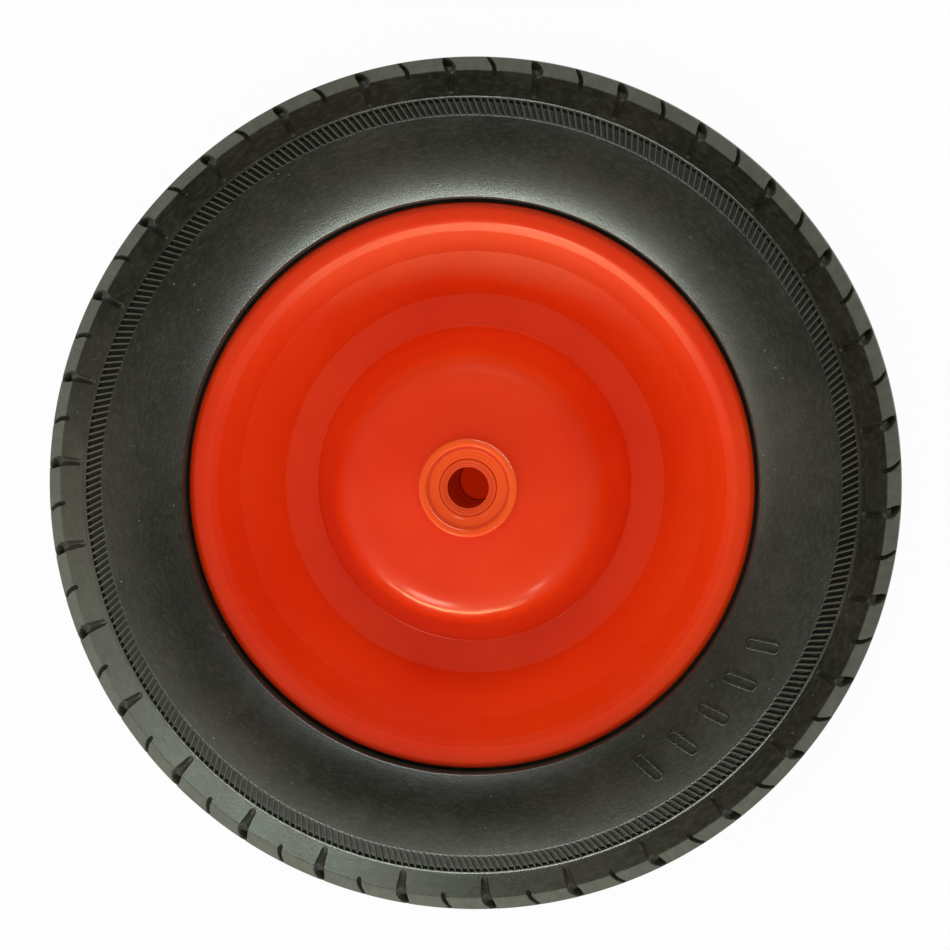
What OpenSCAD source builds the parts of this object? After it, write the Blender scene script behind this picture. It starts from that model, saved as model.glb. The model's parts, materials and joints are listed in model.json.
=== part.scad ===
// Wheelbarrow wheel: a solid foam tyre on a two-piece pressed steel rim,
// with a through hub that carries two sealed ball bearings.
// The axle lies along Z, and the origin is the middle of the hub.
// The front half lies at +Z, and the rear half repeats it at -Z.

/* [Tyre] */
// Outer diameter over the tread
tyre_d = 360; // [350:1:380]
// Width over the two sidewalls
tyre_w = 88; // [84:1:94]
// Width of the tread from edge to edge
tread_w = 58; // [52:1:62]
// Fall of the crown from its middle to the tread edge
crown_fall = 3; // [2:0.5:5]
// Radial fall from the crown to the shoulder edge below the bevel
shoulder_fall = 9.5; // [8:0.5:12]
// Distance of the shoulder edge inside the widest face
shoulder_inset = 7.5; // [6:0.5:9]
// Radial fall from the crown to the mould line under the notched band
mould_line_fall = 20.4; // [19:0.1:22]
// Distance of the mould line inside the widest face
mould_line_inset = 3.6; // [3:0.1:4.5]
// Width of the mould line's groove
mould_line_w = 0.9; // [0.6:0.1:1.1]
// Depth of the mould line's groove
mould_line_depth = 0.7; // [0.4:0.1:1.2]
// Radial fall from the crown to the outer wall of the serrated channel
channel_fall = 21.3; // [21.3:0.1:22.5]
// Radial width of the serrated channel
channel_w = 7.4; // [6:0.2:8.4]
// Depth of the serrated channel
channel_depth = 0.5; // [0.3:0.1:0.8]
// Radial fall from the crown to the widest part of the sidewall
belly_fall = 38; // [34:1:42]
// Radial height of the tyre's section from the rim's lip to the crown
section_h = 62.4; // [60:0.2:65]
// Fall of the cheek from the widest face to the tyre's mouth
cheek_fall = 8; // [6:0.2:10]
// Rounding of the tyre's mouth
mouth_round = 1.2; // [0.6:0.1:2]
// Distance from the middle plane to each groove along the crown
crown_groove_z = 11; // [9:0.5:13]
// Width of the grooves along the crown
crown_groove_w = 4; // [3:0.5:6]

/* [Tread notches] */
// Large notches on each side, with a small one midway between two
notch_count = 30; // [24:1:34]
// Angle of the first large notch from +X
notch_start = 8.4; // [0:0.1:12]
// Depth of the notches at the crown
crown_notch_depth = 5; // [4:0.5:6]
// Depth of the notches at the shoulder edge
shoulder_notch_depth = 2.6; // [2:0.1:3.2]
// Depth of the large notches at their inner end
inner_notch_depth = 1.4; // [1:0.1:2]
// Radial length of a large notch from its inner end to the crown
large_notch_length = 19.2; // [17:0.1:19.4]
// Width of a large notch at its inner end
large_notch_end_w = 2.8; // [2:0.2:3.6]
// Width of a large notch at its knee
large_notch_w = 4.8; // [4:0.2:6]
// Radial length of a small notch from its inner end to the crown
small_notch_length = 11.6; // [10:0.2:13]
// Width of a small notch
small_notch_w = 2; // [1.6:0.1:2.6]
// Width of both where they cross the crown
crown_notch_w = 2; // [1.6:0.1:2.6]
// Sideways hook of both from the knee to the tread edge
notch_hook = 3; // [2:0.2:4]
// Radial fall from the crown to the knee where the hook starts
knee_fall = 7.2; // [6:0.2:8]

/* [Rim] */
// Thickness of the pressed sheet
sheet_t = 1.5; // [1.2:0.1:2]
// Height of the lip's crest above the middle plane
lip_z = 31; // [28:0.5:33]
// Radial width of the rolled lip
lip_w = 11.6; // [10:0.2:13]
// Fall of the lip from its crest to the bead seat
lip_fall = 3; // [2:0.2:4]
// Fall of the lip from its crest to its turned-down edge
lip_edge_fall = 1.4; // [1.2:0.1:2]
// Length of the lip's turned-down edge
lip_edge = 1.6; // [1:0.2:2.5]
// Radial width of the steep bead seat inside the lip
seat_w = 7.8; // [6:0.2:9]
// Height of the bead seat's foot above the middle plane
seat_z = 18.5; // [14:0.5:20]
// Radial width of the bowl's cone from the valley to the bead seat
cone_w = 17.2; // [15:0.2:19]
// Radial width of the flat valley where the halves meet
valley_w = 14; // [11:0.5:17]
// Share of the way from the hub tube to the dome's foot at which the dome's shoulder lies
dome_shoulder_share = 0.72; // [0.6:0.01:0.8]
// How far the hub tube stands out of the dome
hub_stand = 4; // [3:0.5:6]
// Rise of the dome from its shoulder to the hub tube
dome_rise = 4; // [3:0.5:8]
// Outer radius of the dome's round shoulder
dome_round = 16; // [9:0.5:18]
// Inner radius of the creases at the valley and the bead seat
crease_round = 1.5; // [1:0.1:2.5]
// Outer radius of the bends between the bead seat and the lip
lip_round = 3; // [2.5:0.1:4]
// Inner radius of the two bends at the lip's edge
edge_bend = 0.3; // [0.2:0.05:0.5]

/* [Hub] */
// Wall of the hub tube round the bearings
hub_wall = 2.5; // [2:0.1:4]
// Length of the hub tube over its rolled ends
hub_length = 84; // [80:1:86]
// Radial height of the shoulder behind each bearing
bearing_stop = 2; // [1.2:0.1:3]
// Height of the rolled bead outside the bearing's face
bead_h = 2; // [1.5:0.1:3]
// How far the rolled bead reaches in over the outer race
bead_lap = 0.6; // [0.4:0.1:1]
// How far the rolled bead stands proud of the tube
bead_proud = 0.3; // [0.2:0.1:0.6]

/* [Bearings] */
// Bore of the inner race, which takes the axle
axle_d = 17; // [16:0.5:18]
// Outer diameter of the bearing
bearing_d = 35; // [34:0.5:37]
// Width of the bearing
bearing_w = 10; // [9:0.5:12]
// Diameter of one ball
ball_d = 4.762; // [4.5:0.001:5]
// Balls in one bearing
ball_count = 10; // [8:1:11]
// Radial gap between the two races where the balls run
race_gap = 2.8; // [2.6:0.1:3]
// Thickness of a seal
seal_t = 0.8; // [0.6:0.1:1]
// Radial depth of the seal's seat in the outer race
seal_seat = 1.6; // [1.2:0.1:1.8]
// Chamfer at the edges of the races
race_chamfer = 0.4; // [0.2:0.1:0.6]
// Width of the turned step round the inner race's bore
bore_step_w = 1; // [0.6:0.1:1.2]
// Depth of the turned step round the inner race's bore
bore_step_depth = 0.5; // [0.3:0.1:0.8]
// Axial width of the ball cage
cage_w = 6.2; // [5.8:0.1:6.6]
// Radial thickness of the ball cage
cage_t = 1.6; // [1.2:0.1:1.8]
// Wall of the spacer between the inner races
spacer_t = 2; // [1.6:0.1:2.4]

/* [Clearances] */
// Gap between the tyre's edge and the rim's lip
lip_gap = 1.4; // [0.8:0.1:2]
// Gap between the tyre and the back of the rim
tyre_fit = 0.2; // [0.1:0.05:0.5]
// Gap between a ball and the race grooves
ball_play = 0.08; // [0.05:0.01:0.1]
// Gap between a ball and its pocket in the cage
pocket_play = 0.12; // [0.1:0.01:0.2]
// Gap between a seal's lip and the inner race
seal_gap = 0.4; // [0.3:0.05:0.5]
// Gap between a seal and the bearing's face
seal_recess = 0.3; // [0.2:0.05:0.4]
// Radial gap between the spacer and the axle
spacer_play = 0.2; // [0.1:0.05:0.4]

/* [Hidden] */
$fn = 96;
SIDES = ["front", "rear"];

// Paint and rubber as they look on the wheel
orange_paint = "#e8400c";
black_foam = "#2c2b25";
bright_steel = "#b9bcc0";
brass_cage = "#b08a45";

// Tyre places
crown_r = tyre_d / 2;
face_z = tyre_w / 2;
tread_edge = [crown_r - crown_fall, tread_w / 2];
shoulder_edge = [crown_r - shoulder_fall, face_z - shoulder_inset];
mould_line = [crown_r - mould_line_fall, face_z - mould_line_inset];
belly = [crown_r - belly_fall, face_z];
crown_curve = (pow(tread_edge[1], 2) + pow(crown_fall, 2)) / (2 * crown_fall);
sidewall_curve = (pow(mould_line[0] - belly[0], 2) + pow(mould_line_inset, 2)) / (2 * mould_line_inset);
channel_r = crown_r - channel_fall;

// Rim places, on the face that shows
rim_r = crown_r - section_h;
lip_foot_r = rim_r - lip_w;
seat_foot_r = lip_foot_r - seat_w;
valley_r = seat_foot_r - cone_w;
dome_foot_r = valley_r - valley_w;
bearing_r = bearing_d / 2;
hub_r = bearing_r + hub_wall;
dome_top_z = hub_length / 2 - hub_stand;
dome_shoulder_z = dome_top_z - dome_rise;
dome_shoulder_r = hub_r + (dome_foot_r - hub_r) * dome_shoulder_share;
tyre_mouth_r = rim_r + lip_gap;
lip_underside = lip_z - lip_fall - lip_edge;

// Bearing places
bearing_face = hub_length / 2 - bead_h;
bearing_z = bearing_face - bearing_w / 2;
pitch_r = (axle_d + bearing_d) / 4;
inner_land_r = pitch_r - race_gap / 2;
outer_land_r = pitch_r + race_gap / 2;
groove_r = ball_d / 2 + ball_play;
seal_seat_z = bearing_w / 2 - seal_recess - seal_t;

// A unit vector along v
function unit(v) = v / norm(v);

// The normal to the left of the way from a to b
function left_normal(a, b) = let (d = unit(b - a)) [-d[1], d[0]];

// The list in the other order
function turned(list) = [for (i = [len(list) - 1:-1:0]) list[i]];

// Points along an ellipse's arc
function arc_points(centre, radii, from, to, steps) =
    [for (i = [0:steps])
        let (a = from + (to - from) * i / steps)
        [centre[0] + radii[0] * cos(a), centre[1] + radii[1] * sin(a)]];

// The points that round one corner, where each corner is [x, y, radius]
function corner_points(before, corner, after, steps) =
    let (
        p = [corner[0], corner[1]],
        d1 = unit([before[0], before[1]] - p),
        d2 = unit([after[0], after[1]] - p),
        half = acos(d1 * d2) / 2,
        centre = p + unit(d1 + d2) * corner[2] / sin(half),
        start = p + d1 * corner[2] / tan(half) - centre,
        turn = (d1[0] * d2[1] - d1[1] * d2[0] > 0 ? -1 : 1) * (180 - 2 * half)
    )
    [for (i = [0:steps])
        let (a = turn * i / steps)
        centre + [start[0] * cos(a) - start[1] * sin(a), start[0] * sin(a) + start[1] * cos(a)]];

// A path through corners, each rounded by its own radius
function rounded(corners, steps) = concat(
    [[corners[0][0], corners[0][1]]],
    [for (i = [1:len(corners) - 2])
        each (corners[i][2] > 0
            ? corner_points(corners[i - 1], corners[i], corners[i + 1], steps)
            : [[corners[i][0], corners[i][1]]])],
    [[corners[len(corners) - 1][0], corners[len(corners) - 1][1]]]
);

// The path moved sideways to its left by a distance, with mitred corners
function parallel(path, distance) =
    [for (i = [0:len(path) - 1])
        let (
            n1 = left_normal(path[max(i - 1, 0)], path[max(i, 1)]),
            n2 = left_normal(path[min(i, len(path) - 2)], path[min(i + 1, len(path) - 1)])
        )
        path[i] + (n1 + n2) * distance / (1 + n1 * n2)];

// The rim half's face from the hub to the lip's edge, as corners with their radii
rim_corners = [
    [hub_r - sheet_t, dome_top_z, 0],
    [hub_r, dome_top_z, 0],
    [dome_shoulder_r, dome_shoulder_z, dome_round],
    [dome_foot_r, sheet_t, crease_round],
    [valley_r, sheet_t, crease_round],
    [seat_foot_r, seat_z, crease_round],
    [lip_foot_r, lip_z - lip_fall, lip_round],
    [lip_foot_r + lip_fall, lip_z, lip_round],
    [rim_r - lip_edge_fall, lip_z, sheet_t + edge_bend],
    [rim_r, lip_z - lip_edge_fall, sheet_t + edge_bend],
    [rim_r, lip_underside, 0]
];

module front_or_rear(side) {
    if (side == "front") children();
    else mirror([0, 0, 1]) children();
}

module revolved(points) {
    rotate_extrude() polygon(points);
}

// The sidewall's height at a radius outside the belly
function sidewall_z(r) = belly[1] - sidewall_curve + sqrt(pow(sidewall_curve, 2) - pow(r - belly[0], 2));

// The sidewall from the mould line over the serrated channel to the belly
function sidewall_points() =
    let (
        line_in_r = mould_line[0] - mould_line_w / 2,
        inner_r = channel_r - channel_w,
        middle_r = channel_r - channel_w / 2
    )
    concat(
        [[line_in_r, sidewall_z(line_in_r)], [channel_r, sidewall_z(channel_r)]],
        [for (r = [channel_r, middle_r, inner_r]) [r, sidewall_z(r) - channel_depth]],
        [for (i = [0:4]) let (r = inner_r + (belly[0] - inner_r) * i / 4) [r, sidewall_z(r)]]
    );

// Half of the tyre's outline, from the middle of the crown to the middle of the well
function tyre_half_outline() =
    let (
        crown = arc_points([crown_r - crown_curve, 0], [crown_curve, crown_curve], 0,
            asin(tread_edge[1] / crown_curve), 4),
        line_out = mould_line + unit(shoulder_edge - mould_line) * mould_line_w / 2,
        cheek_steps = 8,
        cheek_w = belly[0] - tyre_mouth_r,
        cheek_curve = (pow(cheek_w, 2) + pow(cheek_fall, 2)) / (2 * cheek_fall),
        cheek = arc_points([belly[0], face_z - cheek_curve], [cheek_curve, cheek_curve],
            90, 90 + asin(cheek_w / cheek_curve), cheek_steps),
        before_mouth = cheek[cheek_steps - 1],
        mouth = [tyre_mouth_r, face_z - cheek_fall, mouth_round],
        back = parallel([[valley_r, sheet_t], [seat_foot_r, seat_z], [lip_foot_r, lip_z - lip_fall]],
            -sheet_t - tyre_fit),
        bead_z = lip_underside - tyre_fit,
        flank = back[1] + (back[2] - back[1]) * (bead_z - back[1][1]) / (back[2][1] - back[1][1]),
        well_r = (back[0][0] + back[1][0]) / 2,
        well = back[0] + (back[1] - back[0]) * (well_r - back[0][0]) / (back[1][0] - back[0][0])
    )
    concat(crown, [shoulder_edge, line_out, mould_line - [0, mould_line_depth]], sidewall_points(),
        [for (i = [1:cheek_steps - 1]) cheek[i]],
        corner_points(before_mouth, mouth, [tyre_mouth_r, bead_z], 2),
        [[tyre_mouth_r, bead_z], flank, back[1], well]);

// What the notches cut away, outside a floor that rises from the crown to their inner ends
module notch_zone() {
    edge_depth = (crown_notch_depth + shoulder_notch_depth) / 2;
    revolved([
        [crown_r - crown_notch_depth, crown_groove_z],
        tread_edge - [edge_depth, edge_depth / 2],
        shoulder_edge - [shoulder_notch_depth / 2, shoulder_notch_depth],
        mould_line - [0, inner_notch_depth],
        [mould_line[0], face_z + crown_notch_depth],
        [crown_r + crown_notch_depth, face_z + crown_notch_depth],
        [crown_r + crown_notch_depth, crown_groove_z]
    ]);
}

// One notch seen along the axle: a scoop with a round inner end, hooked into a narrow slot at its knee
module notch_outline(length, end_w, knee_w) {
    hook_round = 2;
    hook_lead = 1;
    knee_lead = knee_w / 4;
    end_r = crown_r - length + end_w / 2;
    knee_r = max(crown_r - knee_fall, end_r + knee_lead);
    top_r = crown_r + crown_notch_depth;
    slot = crown_notch_w / 2;
    polygon(concat(
        arc_points([end_r, 0], [end_w / 2, end_w / 2], 90, 270, 4),
        rounded([
            [end_r, -end_w / 2, 0],
            [knee_r + knee_lead, -knee_w / 2, hook_round / 2],
            [tread_edge[0] + hook_lead, notch_hook - slot, hook_round],
            [top_r, notch_hook - slot, 0]
        ], 2),
        rounded([
            [top_r, notch_hook + slot, 0],
            [tread_edge[0] - hook_lead, notch_hook + slot, hook_round],
            [knee_r - knee_lead, knee_w / 2, hook_round / 2],
            [end_r, end_w / 2, 0]
        ], 2)
    ));
}

module notch_prism(angle, length, end_w, knee_w) {
    rotate(angle) linear_extrude(height = face_z + crown_notch_depth) notch_outline(length, end_w, knee_w);
}

module notch_prisms() {
    pitch = 360 / notch_count;
    for (i = [0:notch_count - 1]) {
        notch_prism(notch_start + pitch * i, large_notch_length, large_notch_end_w, large_notch_w);
        notch_prism(notch_start + pitch * (i + 0.5), small_notch_length, small_notch_w, small_notch_w);
    }
}

module tread_notches() {
    intersection() {
        notch_zone();
        notch_prisms();
    }
}

module crown_groove() {
    bottom_w = crown_groove_w / 2;
    revolved([
        [crown_r - crown_notch_depth, crown_groove_z - bottom_w / 2],
        [crown_r, crown_groove_z - crown_groove_w / 2],
        [crown_r + crown_notch_depth, crown_groove_z - crown_groove_w / 2],
        [crown_r + crown_notch_depth, crown_groove_z + crown_groove_w / 2],
        [crown_r, crown_groove_z + crown_groove_w / 2],
        [crown_r - crown_notch_depth, crown_groove_z + bottom_w / 2]
    ]);
}

module tyre() {
    half = tyre_half_outline();
    color(black_foam) difference() {
        revolved(concat(
            [for (i = [len(half) - 1:-1:1]) [half[i][0], -half[i][1]]],
            half
        ));
        for (turn = [0, 180]) rotate([turn, 0, 0]) {
            tread_notches();
            crown_groove();
        }
    }
}

// One pressed half of the rim: the sheet follows its face, with the hub's hole cut through the dome
module rim_half(side) {
    face = rounded(rim_corners, 5);
    color(orange_paint) front_or_rear(side) difference() {
        revolved(concat(face, turned(parallel(face, -sheet_t))));
        cylinder(r = hub_r, h = hub_length);
    }
}

module hub_tube() {
    end_z = hub_length / 2;
    bead_r = hub_r + bead_proud;
    lap_r = bearing_r - bead_lap;
    bore_r = bearing_r - bearing_stop;
    bead = rounded([
        [bead_r, 0, 0],
        [bead_r, end_z, (bead_r - lap_r) / 2 - bead_proud],
        [lap_r, end_z, (bead_r - lap_r) / 2 - bead_proud],
        [lap_r, bearing_face, 0]
    ], 4);
    half = concat(
        [[hub_r, 0], [hub_r, dome_top_z + bead_proud], [bead_r, dome_top_z + 2 * bead_proud]],
        [for (i = [1:len(bead) - 1]) bead[i]],
        [
            [bearing_r, bearing_face],
            [bearing_r, bearing_face - bearing_w],
            [bore_r, bearing_face - bearing_w],
            [bore_r, 0]
        ]
    );
    color(orange_paint) revolved(concat(
        [for (i = [len(half) - 2:-1:1]) [half[i][0], -half[i][1]]],
        half
    ));
}

module axle_spacer() {
    length = 2 * (bearing_face - bearing_w);
    bore_r = axle_d / 2 + spacer_play;
    color(bright_steel) difference() {
        cylinder(r = bore_r + spacer_t, h = length, center = true);
        cylinder(r = bore_r, h = length + 2, center = true);
    }
}

// Places its children at one bearing, with its outer side towards +Z before mirroring
module at_bearing(side) {
    front_or_rear(side) translate([0, 0, bearing_z]) children();
}

module ball_groove() {
    rotate_extrude() translate([pitch_r, 0]) circle(r = groove_r);
}

module outer_race(side) {
    color(bright_steel) at_bearing(side) difference() {
        revolved(let (
            r = bearing_r,
            z = bearing_w / 2,
            c = race_chamfer,
            land = outer_land_r,
            seat = land + seal_seat
        ) [
            [r, -z + c], [r, z - c], [r - c, z], [seat, z], [seat, seal_seat_z], [land, seal_seat_z],
            [land, -seal_seat_z], [seat, -seal_seat_z], [seat, -z], [r - c, -z]
        ]);
        ball_groove();
    }
}

module inner_race(side) {
    color(orange_paint) at_bearing(side) difference() {
        revolved(let (
            bore = axle_d / 2,
            z = bearing_w / 2,
            c = race_chamfer,
            land = inner_land_r,
            step = bore + bore_step_w
        ) [
            [bore, -z], [land - c, -z], [land, -z + c], [land, z - c], [land - c, z], [step, z],
            [step, z - bore_step_depth], [bore, z - bore_step_depth]
        ]);
        ball_groove();
    }
}

module ball(side, i) {
    color(bright_steel) at_bearing(side) rotate(360 * (i - 1) / ball_count)
        translate([pitch_r, 0, 0]) sphere(d = ball_d);
}

module ball_cage(side) {
    color(brass_cage) at_bearing(side) difference() {
        rotate_extrude() translate([pitch_r - cage_t / 2, -cage_w / 2]) square([cage_t, cage_w]);
        for (i = [0:ball_count - 1]) rotate([0, 90, 360 * i / ball_count])
            translate([0, 0, pitch_r - cage_t]) cylinder(r = ball_d / 2 + pocket_play, h = 2 * cage_t);
    }
}

// A ring seal in the outer race's seat: place is 1 at the bearing's outer side and -1 at its inner side
module seal(side, place) {
    color(orange_paint) at_bearing(side) translate([0, 0, place * (seal_seat_z + seal_t / 2)]) difference() {
        cylinder(r = outer_land_r + seal_seat, h = seal_t, center = true);
        cylinder(r = inner_land_r + seal_gap, h = seal_t + 2, center = true);
    }
}

tyre();
rim_half("front");  // front_rim_half
rim_half("rear");  // rear_rim_half
hub_tube();
axle_spacer();
for (side = SIDES) {
    outer_race(side);
    inner_race(side);
    ball_cage(side);
    seal(side, 1);
    seal(side, -1);
    for (i = [1:ball_count])
        ball(side, i);
}
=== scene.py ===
"""Wheelbarrow wheel: a solid foam tyre on an orange two-piece pressed rim with a bearing hub.

The axle lies along Z and the origin is the middle of the hub. Sizes are in millimetres, and the
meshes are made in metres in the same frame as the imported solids.
"""

import json
import logging
import math
from dataclasses import dataclass, field
from enum import Enum
from typing import Sequence

import bpy
import numpy as np
from mathutils import Matrix, Vector

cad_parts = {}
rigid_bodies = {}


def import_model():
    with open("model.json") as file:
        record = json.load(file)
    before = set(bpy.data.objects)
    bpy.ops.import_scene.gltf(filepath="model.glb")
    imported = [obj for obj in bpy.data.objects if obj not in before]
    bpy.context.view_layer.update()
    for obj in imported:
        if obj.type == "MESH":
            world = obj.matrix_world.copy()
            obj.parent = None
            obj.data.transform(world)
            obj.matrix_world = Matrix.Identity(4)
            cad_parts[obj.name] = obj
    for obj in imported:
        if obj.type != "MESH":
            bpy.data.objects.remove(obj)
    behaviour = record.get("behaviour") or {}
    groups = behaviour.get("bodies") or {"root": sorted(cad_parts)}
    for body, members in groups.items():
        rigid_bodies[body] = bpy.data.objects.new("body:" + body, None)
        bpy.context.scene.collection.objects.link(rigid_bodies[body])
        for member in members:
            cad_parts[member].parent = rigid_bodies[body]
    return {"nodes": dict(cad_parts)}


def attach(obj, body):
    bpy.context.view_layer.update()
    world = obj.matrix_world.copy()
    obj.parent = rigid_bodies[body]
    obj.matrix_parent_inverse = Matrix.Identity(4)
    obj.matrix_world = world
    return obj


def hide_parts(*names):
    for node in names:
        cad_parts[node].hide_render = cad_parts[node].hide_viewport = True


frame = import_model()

MM = 0.001
LOG = logging.getLogger("wheel")

Point = tuple[float, float]
Corner = tuple[float, float, float]


class Side(Enum):
    """The two sides of the wheel, by the sign of Z that they face."""

    FRONT = 1
    REAR = -1

    @property
    def word(self) -> str:
        """The side's name as the pieces carry it."""
        return self.name.lower()


class Body(Enum):
    """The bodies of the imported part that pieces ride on."""

    AXLE_SET = "axle_set"
    WHEEL = "wheel"
    FRONT_BALLS = "front_ball_set"
    REAR_BALLS = "rear_ball_set"


class LampUse(Enum):
    """What a lamp gives the scene."""

    BOTH = "both"
    SHEEN = "reflections only"
    FILL = "soft light only"


class Slot(Enum):
    """The record's material slots."""

    FOAM = "tyre_foam"
    PAINT = "orange_paint"
    RACE = "painted_race"
    SEAL = "painted_seal"
    STEEL = "bearing_steel"
    BRASS = "cage_brass"
    RUBBER = "seal_rubber"


# Sections and meshes


def unit(v: np.ndarray) -> np.ndarray:
    """The unit vector along v."""
    return v / np.linalg.norm(v)


def arc(centre: Point, radii: Point, start: float, end: float, steps: int) -> list[Corner]:
    """Points along an ellipse's arc.

    Args:
        centre: The ellipse's centre.
        radii: Its two half axes.
        start: First angle in degrees.
        end: Last angle in degrees.
        steps: Chords along the arc.

    Returns:
        The points as corners without a radius.
    """
    angles = np.radians(np.linspace(start, end, steps + 1))
    return [
        (centre[0] + radii[0] * math.cos(a), centre[1] + radii[1] * math.sin(a), 0.0)
        for a in angles
    ]


def rounded(corners: Sequence[Corner], closed: bool = True, step: float = 12.0) -> np.ndarray:
    """A section whose corners are rounded, with a close pair of points beside each round.

    Args:
        corners: Points with the radius of each.
        closed: Whether the last point joins the first.
        step: Largest turn between two chords in degrees.

    Returns:
        The points as an array of rows (r, z).
    """
    count = len(corners)
    made: list[np.ndarray] = []
    for i, (x, y, radius) in enumerate(corners):
        p = np.array((x, y))
        if radius <= 0 or (not closed and i in (0, count - 1)):
            made.append(p)
            continue
        before = unit(np.array(corners[i - 1][:2]) - p)
        after = unit(np.array(corners[(i + 1) % count][:2]) - p)
        half = math.acos(float(np.clip(before @ after, -1, 1))) / 2
        reach = radius / math.tan(half)
        centre = p + unit(before + after) * radius / math.sin(half)
        start = p + before * reach - centre
        cross = before[0] * after[1] - before[1] * after[0]
        turn = (math.pi - 2 * half) * (-1 if cross > 0 else 1)
        steps = max(2, math.ceil(abs(math.degrees(turn)) / step))
        rim = 0.1 * radius
        made.append(p + before * (reach + rim))
        for k in range(steps + 1):
            a = turn * k / steps
            c, s = math.cos(a), math.sin(a)
            made.append(centre + np.array((start[0] * c - start[1] * s, start[0] * s + start[1] * c)))
        made.append(p + after * (reach + rim))
    return np.array(made)


def parallel(path: np.ndarray, distance: float) -> np.ndarray:
    """The open path moved to its left by a distance, with mitred corners.

    Args:
        path: The path's points.
        distance: How far to move it.

    Returns:
        The moved points.
    """
    steps = np.diff(path, axis=0)
    steps = steps / np.linalg.norm(steps, axis=1)[:, None]
    left = np.stack([-steps[:, 1], steps[:, 0]], axis=1)
    before = np.vstack([left[:1], left])
    after = np.vstack([left, left[-1:]])
    reach = 1 + (before * after).sum(axis=1)
    return path + (before + after) * distance / reach[:, None]


def mirrored(half: Sequence[Corner]) -> list[Corner]:
    """A closed section from its front half, whose first and last points lie on the middle plane.

    Args:
        half: Corners from the middle plane, round the front, and back to it.

    Returns:
        The corners of the whole section.
    """
    return [*half, *[(r, -z, radius) for r, z, radius in half[-2:0:-1]]]


@dataclass
class MeshDraft:
    """Points and faces gathered for one piece, in millimetres."""

    points: list[np.ndarray] = field(default_factory=list)
    faces: list[list[int]] = field(default_factory=list)
    count: int = 0

    def add(self, points: np.ndarray, faces: list[list[int]]) -> None:
        """Adds one closed shell, turned so that its faces look outwards.

        Args:
            points: Rows of (x, y, z).
            faces: Lists of indices into the points.
        """
        p = np.asarray(points, float)
        centre = p.mean(axis=0)
        volume = 0.0
        for f in faces:
            a = p[f[0]] - centre
            for k in range(1, len(f) - 1):
                volume += float(a @ np.cross(p[f[k]] - centre, p[f[k + 1]] - centre))
            if len(faces) > 4000 and abs(volume) > 1e4:
                break
        if volume < 0:
            faces = [f[::-1] for f in faces]
        self.points.append(p)
        self.faces += [[i + self.count for i in f] for f in faces]
        self.count += len(p)

    def ring(self, grid: np.ndarray) -> None:
        """Adds a closed ring from a grid of points, whose rows run along the section.

        Args:
            grid: Array of rows by columns by (x, y, z); both directions close on themselves.
        """
        rows, columns = grid.shape[:2]
        index = np.arange(rows * columns).reshape(rows, columns)
        down, across = np.roll(index, -1, axis=0), np.roll(index, -1, axis=1)
        quads = np.stack([index, down, np.roll(down, -1, axis=1), across], axis=-1).reshape(-1, 4)
        points = grid.reshape(-1, 3)
        a, b, c, d = (points[quads[:, k]] for k in range(4))
        volume = (np.einsum("ij,ij->i", a, np.cross(b, c)) + np.einsum("ij,ij->i", a, np.cross(c, d))).sum()
        if volume < 0:
            quads = quads[:, ::-1]
        self.points.append(points)
        self.faces += (quads + self.count).tolist()
        self.count += len(points)

    def revolve(self, section: np.ndarray, segments: int) -> None:
        """Adds a closed section turned once round the axle.

        Args:
            section: Rows of (r, z), closed on themselves and clear of the axle.
            segments: Columns round the axle.
        """
        angles = np.linspace(0, 2 * math.pi, segments, endpoint=False)
        r, z = section[:, 0, None], section[:, 1, None]
        self.ring(np.stack([r * np.cos(angles), r * np.sin(angles), z + 0 * angles], axis=-1))

    def piece(
        self,
        name: str,
        body: Body,
        material: bpy.types.Material,
        slot: Slot,
        replaced: Sequence[str] = (),
        side: Side = Side.FRONT,
    ) -> bpy.types.Object:
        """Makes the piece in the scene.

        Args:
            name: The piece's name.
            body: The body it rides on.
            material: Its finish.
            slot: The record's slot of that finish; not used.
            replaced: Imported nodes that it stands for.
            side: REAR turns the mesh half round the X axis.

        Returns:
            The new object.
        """
        points = np.vstack(self.points) * MM
        points = points * (1.0, side.value, side.value)
        mesh = bpy.data.meshes.new(name)
        mesh.from_pydata(points.tolist(), [], self.faces)
        mesh.validate()
        mesh.shade_smooth()
        mesh.set_sharp_from_angle(angle=math.radians(38))
        mesh.materials.append(material)
        made = bpy.data.objects.new(name, mesh)
        bpy.context.scene.collection.objects.link(made)
        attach(made, body.value)
        if replaced:
            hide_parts(*replaced)
        LOG.info("%s: %d faces on %s", name, len(self.faces), body.value)
        return made


# Finishes


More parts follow.
